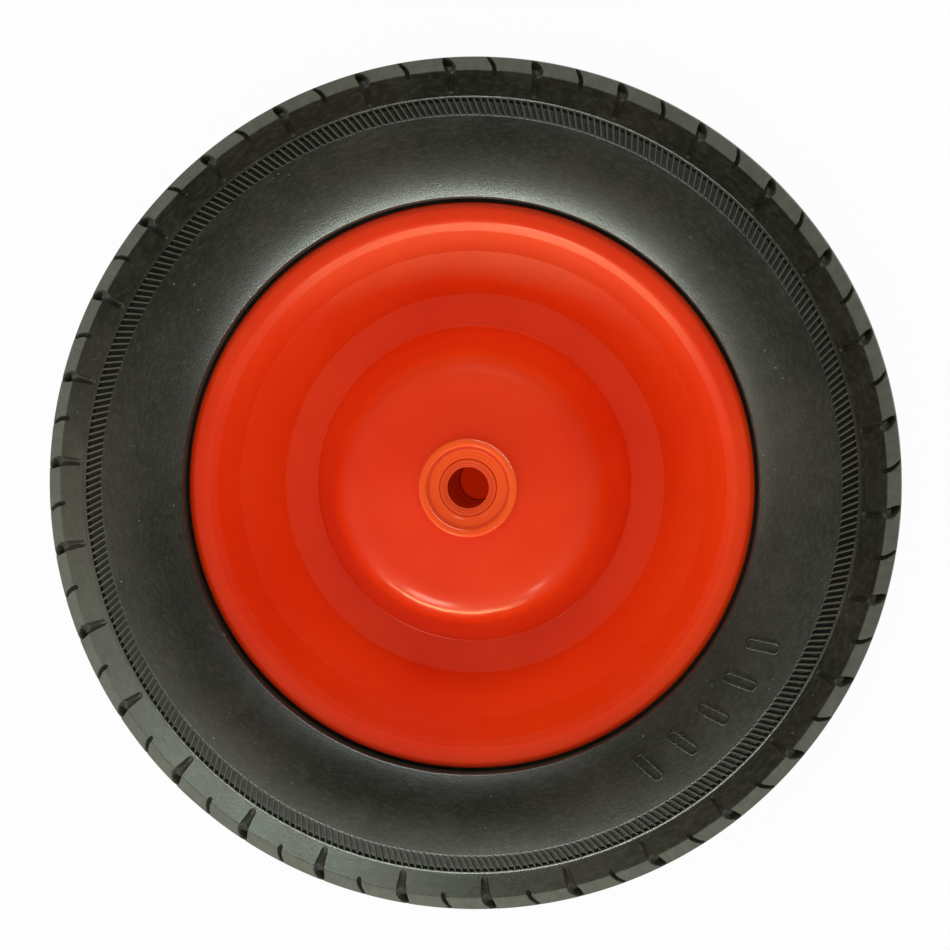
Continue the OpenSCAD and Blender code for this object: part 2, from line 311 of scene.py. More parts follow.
class NodeGraph:
    """One material's node tree, with short calls for what the finishes share."""

    def __init__(self, name: str) -> None:
        """Makes an empty material.

        Args:
            name: The material's name.
        """
        self.material = bpy.data.materials.new(name)
        self.material.use_nodes = True
        self.tree = self.material.node_tree
        self.tree.nodes.clear()
        self.output = self.tree.nodes.new("ShaderNodeOutputMaterial")
        self.place = self.tree.nodes.new("ShaderNodeTexCoord").outputs["Object"]

    def put(self, socket: bpy.types.NodeSocket, value: object) -> None:
        """Sets a socket from a number, a colour or another node's output.

        Args:
            socket: The input to set.
            value: What to set it to.
        """
        if isinstance(value, bpy.types.NodeSocket):
            self.tree.links.new(value, socket)
        else:
            socket.default_value = value

    def node(self, kind: str, inputs: dict[str | int, object] | None = None, **settings: object) -> bpy.types.Node:
        """Adds a node.

        Args:
            kind: Blender's name of the node type.
            inputs: Values by the input's name or number.
            settings: The node's own properties.

        Returns:
            The node.
        """
        made = self.tree.nodes.new(kind)
        for key, value in settings.items():
            setattr(made, key, value)
        for key, value in (inputs or {}).items():
            self.put(made.inputs[key], value)
        return made

    def noise(self, scale: float, detail: float = 3.0, rough: float = 0.5, place: object = None) -> bpy.types.NodeSocket:
        """The value of a noise texture.

        Args:
            scale: Waves in a metre.
            detail: Octaves.
            rough: How strong the finer octaves are.
            place: Coordinates, or None for the object's own.

        Returns:
            The factor output.
        """
        return self.node(
            "ShaderNodeTexNoise",
            {"Vector": place or self.place, "Scale": scale, "Detail": detail, "Roughness": rough},
        ).outputs["Fac"]

    def spread(self, value: object, low: float, high: float, start: float = 0.0, end: float = 1.0) -> bpy.types.NodeSocket:
        """A value stretched from one range to another, and clamped.

        Args:
            value: The input.
            low: Input at which the result is start.
            high: Input at which the result is end.
            start: First result.
            end: Last result.

        Returns:
            The stretched value.
        """
        return self.node(
            "ShaderNodeMapRange",
            {"Value": value, "From Min": low, "From Max": high, "To Min": start, "To Max": end},
        ).outputs["Result"]

    def sum(self, a: object, b: object, operation: str = "ADD") -> bpy.types.NodeSocket:
        """Two values joined by a sum or another operation of the Math node.

        Args:
            a: First value.
            b: Second value.
            operation: The Math node's operation.

        Returns:
            The result.
        """
        return self.node("ShaderNodeMath", {0: a, 1: b}, operation=operation).outputs[0]

    def blend(self, share: object, a: object, b: object) -> bpy.types.NodeSocket:
        """Two colours mixed.

        Args:
            share: How much of the second.
            a: First colour.
            b: Second colour.

        Returns:
            The mixed colour.
        """
        made = self.tree.nodes.new("ShaderNodeMix")
        made.data_type = "RGBA"
        for socket, value in ((made.inputs[0], share), (made.inputs[6], a), (made.inputs[7], b)):
            self.put(socket, value)
        return made.outputs[2]

    def bump(self, height: object, distance: float, strength: float = 1.0, normal: object = None) -> bpy.types.NodeSocket:
        """A bumped normal.

        Args:
            height: The height from 0 to 1.
            distance: The height's size in metres.
            strength: Share of the effect.
            normal: A normal to add to, or None.

        Returns:
            The normal.
        """
        made = self.node("ShaderNodeBump", {"Height": height, "Distance": distance, "Strength": strength})
        if normal is not None:
            self.put(made.inputs["Normal"], normal)
        return made.outputs["Normal"]

    def surface(self, inputs: dict[str, object]) -> bpy.types.Material:
        """Ends the tree with one Principled shader.

        Args:
            inputs: The shader's inputs by name.

        Returns:
            The finished material.
        """
        shader = self.node("ShaderNodeBsdfPrincipled", inputs)
        self.tree.links.new(shader.outputs["BSDF"], self.output.inputs["Surface"])
        return self.material


def linear(code: str, alpha: float = 1.0) -> tuple[float, float, float, float]:
    """A colour written as six hex digits, in linear light.

    Args:
        code: The digits, red first.
        alpha: The fourth value.

    Returns:
        Red, green, blue and alpha.
    """
    parts = [int(code[i : i + 2], 16) / 255 for i in (0, 2, 4)]
    red, green, blue = (c / 12.92 if c <= 0.04045 else ((c + 0.055) / 1.055) ** 2.4 for c in parts)
    return red, green, blue, alpha


@dataclass(frozen=True)
class FoamSkin:
    """The moulded skin of the foam tyre: olive black, satin, with pinholes, fine streaks and dust.

    The dust is thick from one radius outwards, where the shoulder's bevel and the tread rub. The floor of the
    sidewall's channel is darkened and dulled, a painted shade.
    """

    name: str = "foam_skin"
    green: str = "1c1f12"
    brown: str = "272013"
    dust: str = "5b5b46"
    scuff: str = "5c5e4c"
    scuff_radius: float = 170.6
    scuffed: float = 0.75
    gloss: float = 0.4
    channel: Point = (151.35, 158.7)
    channel_shade: float = 1.0

    def material(self) -> bpy.types.Material:
        """Builds the skin's nodes.

        Returns:
            The material.
        """
        g = NodeGraph(self.name)
        parts = g.node("ShaderNodeSeparateXYZ", {"Vector": g.place})
        flat = g.node("ShaderNodeCombineXYZ", {"X": parts.outputs["X"], "Y": parts.outputs["Y"]}).outputs[0]
        radius = g.node("ShaderNodeVectorMath", {0: flat}, operation="LENGTH").outputs["Value"]
        way = g.node("ShaderNodeVectorMath", {0: flat}, operation="NORMALIZE").outputs["Vector"]
        around = g.node("ShaderNodeVectorMath", {0: way, 1: (0.05, 0.05, 0.0)}, operation="MULTIPLY").outputs["Vector"]
        up = g.node("ShaderNodeCombineXYZ", {"Z": g.sum(radius, parts.outputs["Z"])}).outputs[0]
        polar = g.node("ShaderNodeVectorMath", {0: around, 1: up}, operation="ADD").outputs["Vector"]
        clouds = g.noise(16, 4, 0.6)
        grain = g.noise(1100, 3, 0.6)
        streaks = g.noise(900, 3, 0.65, polar)
        pores = g.node("ShaderNodeTexVoronoi", {"Vector": g.place, "Scale": 190.0, "Randomness": 1.0}).outputs["Distance"]
        pinhole = g.spread(pores, 0.05, 0.1, 1.0, 0.0)
        pinhole = g.sum(pinhole, g.spread(g.noise(45, 2, 0.5), 0.52, 0.6), "MULTIPLY")
        skin = g.blend(g.spread(clouds, 0.38, 0.62), linear(self.green), linear(self.brown))
        skin = g.blend(g.spread(streaks, 0.45, 0.85, 0.0, 0.3), skin, linear(self.dust))
        skin = g.blend(g.spread(g.noise(50, 5, 0.7), 0.5, 0.85, 0.0, 0.22), skin, linear(self.dust))
        skin = g.blend(g.sum(pinhole, 0.75, "MULTIPLY"), skin, linear(self.dust))
        edge = g.sum(radius, g.spread(grain, 0.2, 0.8, -0.0004, 0.0004))
        rubbed = g.spread(edge, (self.scuff_radius - 0.5) * MM, (self.scuff_radius + 0.5) * MM, 0.0, self.scuffed)
        sunk = g.node("ShaderNodeAttribute", attribute_name="sunk").outputs["Fac"]
        rubbed = g.sum(rubbed, g.spread(sunk, 0.05, 0.3, 1.0, 0.12), "MULTIPLY")
        skin = g.blend(g.sum(rubbed, g.spread(streaks, 0.25, 0.7, 0.55, 1.0), "MULTIPLY"), skin, linear(self.scuff))
        rough = g.sum(g.spread(clouds, 0.3, 0.7, self.gloss - 0.04, self.gloss + 0.07), g.spread(grain, 0.3, 0.7, -0.03, 0.05))
        rough = g.sum(rough, g.sum(rubbed, 0.16, "MULTIPLY"))
        lo, hi = self.channel
        # Painted shade: the floor of the channel between the ridges is darkened towards near black and made rougher.
        channel_shade = g.sum(g.spread(radius, (lo + 0.1) * MM, (lo + 0.7) * MM), g.spread(radius, (hi - 0.7) * MM, hi * MM, 1.0, 0.0), "MULTIPLY")
        channel_shade = g.sum(channel_shade, self.channel_shade, "MULTIPLY")
        skin = g.blend(g.sum(channel_shade, 0.85, "MULTIPLY"), skin, linear("0b0b09"))
        rough = g.sum(rough, g.sum(channel_shade, 0.45, "MULTIPLY"))
        relief = g.sum(g.spread(grain, 0.2, 0.8), g.sum(pinhole, -3.0, "MULTIPLY"))
        normal = g.bump(relief, 0.00007, 0.6)
        normal = g.bump(streaks, 0.00006, 0.5, normal)
        normal = g.bump(g.noise(110, 3, 0.5), 0.00014, 0.4, normal)
        return g.surface({"Base Color": skin, "Roughness": rough, "Normal": normal, "IOR": 1.5})


@dataclass(frozen=True)
class PowderCoat:
    """The orange paint over all of the steel: glossy, with a fine orange peel and uneven depth."""

    name: str = "orange_coat"
    body: str = "f23602"
    thick: str = "ea2b01"
    thin: str = "f63d06"

    def material(self) -> bpy.types.Material:
        """Builds the paint's nodes.

        Returns:
            The material.
        """
        g = NodeGraph(self.name)
        clouds = g.noise(14, 4, 0.55)
        peel = g.noise(420, 2, 0.45)
        paint = g.blend(g.spread(clouds, 0.3, 0.7), linear(self.thick), linear(self.thin))
        paint = g.blend(g.spread(g.noise(70, 3, 0.6), 0.3, 0.75, 0.0, 0.5), paint, linear(self.body))
        rough = g.sum(g.spread(g.noise(35, 3, 0.5), 0.3, 0.7, 0.36, 0.46), g.spread(peel, 0.3, 0.7, 0.0, 0.03))
        normal = g.bump(peel, 0.00004, 0.35)
        normal = g.bump(g.noise(60, 2, 0.5), 0.00012, 0.3, normal)
        return g.surface(
            {
                "Base Color": paint,
                "Roughness": rough,
                "Normal": normal,
                "IOR": 1.45,
                "Specular IOR Level": 0.18,
                "Coat Weight": 0.7,
                "Coat Roughness": 0.16,
                "Coat IOR": 1.45,
            }
        )


@dataclass(frozen=True)
class OversprayedSteel:
    """Bearing steel whose outer face took the wheel's paint, with a soft edge where the spray ended."""

    edge: float = 37.2
    steel: str = "b4b6b8"
    paint: str = "ee4a12"

    def material(self) -> bpy.types.Material:
        """Builds the painted and the bare steel.

        Returns:
            The material.
        """
        g = NodeGraph("oversprayed_steel")
        height = g.node("ShaderNodeSeparateXYZ", {"Vector": g.place}).outputs["Z"]
        height = g.node("ShaderNodeMath", {0: height}, operation="ABSOLUTE").outputs[0]
        speckle = g.spread(g.noise(2600, 2, 0.6), 0.3, 0.7, -0.0006, 0.0006)
        painted = g.spread(g.sum(height, speckle), (self.edge - 0.4) * MM, (self.edge + 0.4) * MM)
        turned = g.noise(1500, 3, 0.6)
        colour = g.blend(painted, g.blend(g.spread(turned, 0.3, 0.7), linear(self.steel), linear("8f9296")), linear(self.paint))
        rough = g.sum(g.spread(painted, 0.0, 1.0, 0.22, 0.3), g.spread(turned, 0.3, 0.7, 0.0, 0.06))
        metal = g.spread(painted, 0.0, 1.0, 1.0, 0.0)
        return g.surface(
            {"Base Color": colour, "Metallic": metal, "Roughness": rough, "Normal": g.bump(turned, 0.00001, 0.4)}
        )


@dataclass(frozen=True)
class TurnedMetal:
    """Bare metal inside the bearings: ground balls, drawn tube or a pressed cage."""

    name: str
    light: str
    dark: str
    rough: float

    def material(self) -> bpy.types.Material:
        """Builds the metal's nodes.

        Returns:
            The material.
        """
        g = NodeGraph(self.name)
        oil = g.noise(300, 3, 0.55)
        colour = g.blend(g.spread(oil, 0.3, 0.7), linear(self.light), linear(self.dark))
        rough = g.spread(g.noise(1200, 2, 0.5), 0.3, 0.7, self.rough - 0.05, self.rough + 0.06)
        return g.surface(
            {"Base Color": colour, "Metallic": 1.0, "Roughness": rough, "Normal": g.bump(oil, 0.00001, 0.3)}
        )


@dataclass(frozen=True)
class SealRubber:
    """Black nitrile of the seals that face the grease, with a fine moulded grain."""

    dark: str = "171717"
    light: str = "262524"

    def material(self) -> bpy.types.Material:
        """Builds the rubber's nodes.

        Returns:
            The material.
        """
        g = NodeGraph("seal_rubber")
        grain = g.noise(1800, 3, 0.6)
        colour = g.blend(g.spread(grain, 0.3, 0.7), linear(self.dark), linear(self.light))
        rough = g.spread(g.noise(200, 3, 0.5), 0.3, 0.7, 0.5, 0.62)
        return g.surface({"Base Color": colour, "Roughness": rough, "Normal": g.bump(grain, 0.00002, 0.5)})


class Finishes:
    """All finishes of the wheel, each made once."""

    def __init__(self) -> None:
        """Makes the materials."""
        self.foam = FoamSkin().material()
        # The ridges wear a paler copy of the skin: partly dust and wear on their crests, partly painted highlight for
        # the light that they catch.
        self.ridge = FoamSkin("foam_ridge", "4a4a3e", "55503f", "8a8878", scuff_radius=140.0, scuffed=0.3, channel_shade=0.0).material()
        self.paint = PowderCoat().material()
        # The hub tube and the outside seals wear a brighter copy of the orange paint: painted highlight for the way
        # these faces meet the light.
        self.face = PowderCoat("orange_face_painted_light", "fd5416", "f84b0e", "ff6222").material()
        self.race = OversprayedSteel().material()
        self.steel = TurnedMetal("ground_steel", "c3c5c8", "9da1a6", 0.16).material()
        self.tube = TurnedMetal("drawn_tube", "a9abad", "84878b", 0.34).material()
        self.brass = TurnedMetal("cage_brass", "c79a4a", "9c7334", 0.32).material()
        self.rubber = SealRubber().material()


# The rim


@dataclass(frozen=True)
class RimShape:
    """Sizes of one pressed rim half, on the face that shows."""

    radius: float = 117.6
    sheet: float = 1.5
    hub: float = 20.0
    valley: float = 81.0
    lip_z: float = 31.0
    seat: Point = (98.2, 17.3)
    lip_foot: Point = (106.0, 28.0)
    lip_end: float = 26.4

    def corners(self) -> list[Corner]:
        """The face from the hub to the lip's edge, as corners with their radii."""
        return [
            (self.hub, 38.0, 0.0),
            (53.84, 34.0, 16.0),
            (67.0, self.sheet, 1.5),
            (self.valley, self.sheet, 1.5),
            (*self.seat, 1.5),
            (*self.lip_foot, 1.6),
            (109.6, self.lip_z, 2.6),
            (115.6, 30.5, 3.0),
            (self.radius, 28.8, 1.4),
            (self.radius, self.lip_end, 0.0),
        ]

    def back(self, gap: float) -> np.ndarray:
        """The back of the sheet under the tyre, a gap away from it.

        Args:
            gap: Distance from the sheet's back.

        Returns:
            Points at the valley, the bead seat's foot and the lip's foot.
        """
        face = np.array([(self.valley, self.sheet), self.seat, self.lip_foot])
        return parallel(face, -self.sheet - gap)


@dataclass
class RimHalf:
    """One pressed steel half of the rim, painted on both faces."""

    side: Side
    shape: RimShape = field(default_factory=RimShape)

    def build(self, finishes: Finishes) -> bpy.types.Object:
        """Revolves the pressed sheet.

        Args:
            finishes: The wheel's finishes.

        Returns:
            The rim half.
        """
        face = rounded(self.shape.corners(), closed=False, step=8.0)
        draft = MeshDraft()
        draft.revolve(np.vstack([face, parallel(face, -self.shape.sheet)[::-1]]), 320)
        name = f"{self.side.word}_rim_half"
        return draft.piece(f"{name}_sheet", Body.WHEEL, finishes.paint, Slot.PAINT, [name], self.side)


# The tyre


@dataclass(frozen=True)
class TyreShape:
    """Sizes of the tyre's section."""

    crown: float = 180.0
    face: float = 43.6
    crown_fall: float = 3.0
    tread_edge: Point = (177.0, 29.0)
    shoulder: Point = (170.5, 36.5)
    mould_line: Point = (159.6, 40.4)
    belly: float = 142.0
    mouth: float = 119.0
    mouth_z: float = 36.0
    groove_z: float = 11.0
    groove_w: float = 4.0
    groove_depth: float = 5.0

    def crown_at(self, z: float) -> float:
        """The crown's radius at a distance from the middle plane."""
        curve = (self.tread_edge[1] ** 2 + self.crown_fall**2) / (2 * self.crown_fall)
        return self.crown - curve + math.sqrt(curve**2 - z**2)

    def wall_at(self, r: float) -> float:
        """The sidewall's height between the mould line and the belly."""
        inset = self.face - self.mould_line[1]
        reach = self.mould_line[0] - self.belly
        curve = (reach**2 + inset**2) / (2 * inset)
        return self.face - curve + math.sqrt(curve**2 - (r - self.belly) ** 2)

    def cheek_at(self, r: float) -> float:
        """The height of the cheek between the belly and the mouth."""
        reach, fall = self.belly - self.mouth, self.face - self.mouth_z
        curve = (reach**2 + fall**2) / (2 * fall)
        return self.face - curve + math.sqrt(curve**2 - (self.belly - r) ** 2)


@dataclass(frozen=True)
class NotchRow:
    """One station of a notch: radius at the top and its two edges sideways."""

    top: float
    left: float
    right: float


@dataclass
class Tyre:
    """The one-piece foam tyre, modelled as a carcass with two tread bands and fine sidewall relief."""

    shape: TyreShape = field(default_factory=TyreShape)
    rim: RimShape = field(default_factory=RimShape)
    notches: int = 30
    first_notch: float = 8.4
    slot_slant: float = 0.7
    ridges: int = 360
    ridge_lean: float = 24.0
    channel: Point = (151.35, 158.7)
    channel_depth: float = 0.9
    line_depth: float = 0.1
    bars: int = 5
    bar_arc: Point = (-57.0, -28.0)

    large: tuple[NotchRow, ...] = (
        NotchRow(160.5, -0.1, 0.1),
        NotchRow(160.7, -0.75, 0.75),
        NotchRow(161.2, -1.2, 1.2),
        NotchRow(162.0, -1.45, 1.5),
        NotchRow(165.0, -1.6, 1.7),
        NotchRow(170.0, -2.0, 2.4),
        NotchRow(173.0, -1.9, 3.3),
        NotchRow(175.0, -0.6, 3.9),
        NotchRow(176.6, 1.2, 3.95),
        NotchRow(177.2, 1.8, 3.9),
        NotchRow(178.0, 1.9, 3.9),
    )
    small: tuple[NotchRow, ...] = (
        NotchRow(168.3, -0.1, 0.1),
        NotchRow(168.6, -0.7, 0.7),
        NotchRow(169.4, -1.0, 1.0),
        NotchRow(172.0, -0.7, 1.4),
        NotchRow(174.0, 0.1, 2.3),
        NotchRow(176.0, 1.6, 3.7),
        NotchRow(177.0, 2.4, 4.2),
        NotchRow(178.0, 2.8, 4.4),
    )

    def carcass(self, finishes: Finishes) -> bpy.types.Object:
        """Revolves the core with the middle rib, both sidewalls and the bead.

        Args:
            finishes: The wheel's finishes.

        Returns:
            The carcass.
        """
        s = self.shape
        edge = s.groove_z - s.groove_w / 2
        floor = s.crown - s.groove_depth
        rib = [(s.crown_at(z), z, 0.0) for z in (0.0, 3.0, 6.0)]
        rib += [(s.crown_at(edge), edge, 0.5), (floor, edge + 1.0, 0.7), (floor, edge + 3.3, 0.0)]
        under = [(172.0, 15.0, 0.0), (170.2, 25.6, 0.0), (166.6, 31.6, 0.0), (160.8, 37.6, 0.0)]
        inner = s.mould_line[0] - 0.45
        line = [(s.mould_line[0], s.mould_line[1] - self.line_depth, 0.0), (inner, s.wall_at(inner), 0.15)]
        lo, hi = self.channel
        depth = self.channel_depth
        channel: list[Corner] = [(hi, s.wall_at(hi), 0.12), (hi - 0.9, s.wall_at(hi) - depth, 0.12)]
        channel += [(r, s.wall_at(r) - depth, 0.0) for r in (157.5, 156.0, 154.5, 153.0)]
        channel += [(lo + 0.9, s.wall_at(lo) - depth, 0.12), (lo, s.wall_at(lo), 0.12)]
        wall = [(r, s.wall_at(r), 0.0) for r in np.linspace(150.9, 143.5, 6)]
        cheek = [(r, s.cheek_at(r), 0.0) for r in np.linspace(s.belly, 121.0, 28)]
        bead = [(s.mouth, s.mouth_z, 1.2)]
        back = self.rim.back(0.2)
        bead_z = self.rim.lip_end - 0.2
        share = (bead_z - back[1][1]) / (back[2][1] - back[1][1])
        flank = back[1] + (back[2] - back[1]) * share
        middle = (back[0] + back[1]) / 2
        well = back[0] + (back[1] - back[0]) * (middle[0] - back[0][0]) / (back[1][0] - back[0][0])
        inside = [(s.mouth, bead_z, 0.6), (*flank, 0.4), (*back[1], 0.8)]
        half = [*rib, *under, *line, *channel, *wall, *cheek, *bead, *inside]
        section = [*half, (*well, 0.0)]
        rear = [(r, -z, radius) for r, z, radius in section[::-1]]
        draft = MeshDraft()
        draft.revolve(rounded([*section, *rear[:-1]], step=20.0), 360)
        return draft.piece("tyre_carcass", Body.WHEEL, finishes.foam, Slot.FOAM, ["tyre"])

    def band_rows(self) -> tuple[np.ndarray, np.ndarray]:
        """The tread band's section from the crown groove to the mould line.

        Returns:
            The top of each row and the notches' floor under it, both as rows of (r, z).
        """
        s = self.shape
        edge = s.groove_z + s.groove_w / 2
        deep = s.crown - s.groove_depth
        out = s.mould_line[0] + 0.5
        slope = (s.shoulder[1] - s.mould_line[1]) / (s.shoulder[0] - s.mould_line[0])
        top_corners = [
            (deep, edge - 1.2, 0.0),
            (s.crown_at(edge), edge, 0.5),
            *[(s.crown_at(z), z, 0.0) for z in (15.0, 19.0, 23.0, 26.5)],
            (*s.tread_edge, 1.0),
            (*s.shoulder, 1.0),
            (out, s.mould_line[1] + slope * 0.5, 0.2),
            (s.mould_line[0], s.mould_line[1] - self.line_depth, 0.0),
        ]
        path = rounded(top_corners, closed=False, step=20.0)
        rows = [path[0]]
        for a, b in zip(path[:-1], path[1:]):
            length = float(np.linalg.norm(b - a))
            longest = 0.55 if b[0] < 171.5 and b[1] > 30 else 0.9 if b[1] > 28 else 1.6
            parts = max(1, math.ceil(length / longest))
            rows += [a + (b - a) * k / parts for k in range(1, parts + 1)]
        top = np.array(rows)
        travel = np.concatenate([[0], np.cumsum(np.linalg.norm(np.diff(top, axis=0), axis=1))])

        def at(point: Point) -> float:
            """The travel of the row nearest a point."""
            return float(travel[np.argmin(np.linalg.norm(top - np.array(point), axis=1))])

        keys = [0.0, at((s.crown_at(edge), edge)), at((s.crown_at(21), 21)), at(s.tread_edge)]
        keys += [at((173.75, 32.75)), at(s.shoulder), at((165.0, s.shoulder[1] + (165 - s.shoulder[0]) * slope))]
        keys += [at((162.2, s.shoulder[1] + (162.2 - s.shoulder[0]) * slope)), at((160.5, 40.0)), float(travel[-1])]
        floor_r = [deep, deep, s.crown_at(21) - 4.6, 173.6, 171.0, 169.4, 164.5, 161.9, 160.45, s.mould_line[0]]
        floor_z = [edge - 1.2, edge, 21.0, 27.2, 30.9, 34.1, 36.9, 38.3, 39.7, s.mould_line[1] - self.line_depth]
        floor = np.stack([np.interp(travel, keys, floor_r), np.interp(travel, keys, floor_z)], axis=1)
        return top, floor

    @staticmethod
    def edges(rows: Sequence[NotchRow], radius: np.ndarray) -> tuple[np.ndarray, np.ndarray, np.ndarray]:
        """A notch's edges at each row of the band.

        Args:
            rows: The notch's stations.
            radius: Radius of each row's top.

        Returns:
            Left and right edges in millimetres sideways, and a share that is 0 where there is no notch.
        """
        r = [n.top for n in rows]
        left = np.interp(radius, r, [n.left for n in rows])
        right = np.interp(radius, r, [n.right for n in rows])
        share = np.interp(radius, r[:4], [0.0, 0.45, 0.8, 1.0])
        return left, right, share

    def band(self, side: Side, finishes: Finishes) -> bpy.types.Object:
        """Builds one notched tread band as a closed ring.

        Args:
            side: Which side of the wheel.
            finishes: The wheel's finishes.

        Returns:
            The band.
        """
        top, floor = self.band_rows()
        radius = top[:, 0].copy()
        radius[: int(np.argmax(radius))] = radius.max()
        wide = np.array([-1.0, -0.93, -0.8, -0.5, 0.0, 0.5, 0.8, 0.93, 1.0])
        crown = np.clip((radius - 174.0) / 3.0, 0, 1)[:, None]
        scoop = 1 - np.abs(wide) ** 2.4
        slot = np.array([0.0, 0.75, 1.0, 1.0, 1.0, 1.0, 1.0, 0.75, 0.0])
        profile = scoop * (1 - crown) + slot * crown
        slant = np.maximum(0.0, self.shape.tread_edge[1] - 0.6 - top[:, 1]) * self.slot_slant
        slant[radius < 175.0] = 0.0
        pitch = 2 * math.pi / self.notches
        start = math.radians(self.first_notch)
        angles: list[np.ndarray] = []
        depths: list[np.ndarray] = []
        for rows, centre in ((self.large, 0.0), (self.small, 0.5)):
            left, right, share = self.edges(rows, radius)
            middle, reach = (left + right) / 2, (right - left) / 2
            u = middle[:, None] + np.concatenate([[-1.0], wide, [1.0]]) * reach[:, None]
            u[:, 0] -= 0.35
            u[:, -1] += 0.35
            u += slant[:, None]
            w = np.pad(profile * share[:, None], ((0, 0), (1, 1)))
            angles.append(centre * pitch + u / radius[:, None])
            depths.append(w)
            nxt = (centre + 0.5) * pitch
            other = self.small if centre == 0.0 else self.large
            other_left = self.edges(other, radius)[0]
            first = angles[-1][:, -1]
            last = nxt + (other_left - 0.35 + slant) / radius
            count = 5 if centre == 0.0 else 6
            k = np.linspace(0, 1, count + 2)[1:-1]
            angles.append(first[:, None] + (last - first)[:, None] * k)
            depths.append(np.zeros((len(radius), count)))
        angle = np.concatenate(angles, axis=1)
        depth = np.concatenate(depths, axis=1)
        angle = np.concatenate([start + i * pitch + angle for i in range(self.notches)], axis=1)
        depth = np.tile(depth, (1, self.notches))
        r = top[:, 0, None] + (floor - top)[:, 0, None] * depth
        z = top[:, 1, None] + (floor - top)[:, 1, None] * depth
        back = np.array([(158.8, 38.6), (163.0, 33.5), (168.0, 28.0), (170.6, 20.0), (172.6, 13.5), (174.0, 12.2)])
        r = np.vstack([r, np.repeat(back[:, :1], r.shape[1], axis=1)])
        z = np.vstack([z, np.repeat(back[:, 1:], z.shape[1], axis=1)])
        share = np.linspace(0, 1, len(back) + 2)[1:-1, None]
        angle = np.vstack([angle, angle[-1] * (1 - share) + angle[0] * share])
        draft = MeshDraft()
        draft.ring(np.stack([r * np.cos(angle), r * np.sin(angle), z], axis=-1))
        made = draft.piece(f"{side.word}_tread_band", Body.WHEEL, finishes.foam, Slot.FOAM, ["tyre"], side)
        sunk = np.vstack([depth, np.ones((len(back), depth.shape[1]))]).ravel()
        made.data.attributes.new("sunk", "FLOAT", "POINT").data.foreach_set("value", sunk.astype(np.float32))
        return made

    def serrations(self, side: Side, finishes: Finishes) -> bpy.types.Object:
        """Builds the ring of fine slanted ridges that fills the sidewall's channel.

        Args:
            side: Which side of the wheel.
            finishes: The wheel's finishes.

        Returns:
            The ridges as one piece.
        """
        lo, hi = self.channel
        stations = np.linspace(lo - 0.05, hi + 0.05, 6)
        across = np.array([(-0.5, -1.0), (-0.36, -0.25), (-0.22, 0.0), (0.22, 0.0), (0.36, -0.25), (0.5, -1.0)])
        lean = math.tan(math.radians(self.ridge_lean))
        spin = 2 * math.pi / self.ridges
        rows = []
        for r in stations:
            ends = 0.12 if r in (stations[0], stations[-1]) else 0.0
            u = across[:, 0] + (r - lo) * lean
            rows.append(np.stack([u / r, np.full(6, r), self.shape.wall_at(r) + across[:, 1] - ends], axis=1))
        one = np.array(rows)
        count = len(across)
        faces = [
            [i * count + j, i * count + (j + 1) % count, (i + 1) * count + (j + 1) % count, (i + 1) * count + j]
            for i in range(len(stations) - 1)
            for j in range(count)
        ]
        faces += [list(range(count)), [(len(stations) - 1) * count + j for j in range(count)][::-1]]
        draft = MeshDraft()
        for i in range(self.ridges):
            a = one[..., 0] + i * spin
            r = one[..., 1]
            draft.add(np.stack([r * np.cos(a), r * np.sin(a), one[..., 2]], axis=-1).reshape(-1, 3), faces)
        return draft.piece(f"{side.word}_serrations", Body.WHEEL, finishes.ridge, Slot.FOAM, ["tyre"], side)

    def bars_relief(self, side: Side, finishes: Finishes) -> bpy.types.Object:
        """Builds a plain ornament of raised slanted bar outlines on the sidewall.

        Args:
            side: Which side of the wheel.
            finishes: The wheel's finishes.

        Returns:
            The outlines as one piece.
        """
        draft = MeshDraft()
        for centre in np.linspace(*self.bar_arc, self.bars):
            corners = [(-4.0, 129.6, 1.6), (0.2, 129.6, 1.6), (4.0, 142.2, 1.6), (-0.2, 142.2, 1.6)]
            loop = rounded(corners, step=22.0)
            thick = []
            for a, b in zip(loop, np.roll(loop, -1, axis=0)):
                parts = max(1, math.ceil(float(np.linalg.norm(b - a)) / 1.2))
                thick += [a + (b - a) * k / parts for k in range(parts)]
            path = np.array(thick)
            ahead = np.roll(path, -1, axis=0) - np.roll(path, 1, axis=0)
            ahead = ahead / np.linalg.norm(ahead, axis=1)[:, None]
            left = np.stack([-ahead[:, 1], ahead[:, 0]], axis=1)
            rows = []
            for off, up in ((-0.6, -0.4), (-0.42, 0.2), (-0.22, 0.42), (0.22, 0.42), (0.42, 0.2), (0.6, -0.4)):
                flat = path + left * off
                angle = math.radians(centre) + flat[:, 0] / flat[:, 1]
                z = np.array([self.shape.cheek_at(q) if q < self.shape.belly else self.shape.wall_at(q) for q in flat[:, 1]])
                z = np.minimum(z + up, self.shape.face + 0.4)
                rows.append(np.stack([flat[:, 1] * np.cos(angle), flat[:, 1] * np.sin(angle), z], axis=1))
            draft.ring(np.array(rows))
        return draft.piece(f"{side.word}_bar_relief", Body.WHEEL, finishes.foam, Slot.FOAM, ["tyre"], side)

    def build(self, finishes: Finishes) -> None:
        """Builds every piece of the tyre.

        Args:
            finishes: The wheel's finishes.
        """
        self.carcass(finishes)
        for side in Side:
            self.band(side, finishes)
            self.serrations(side, finishes)
            self.bars_relief(side, finishes)


# The hub and its bearings


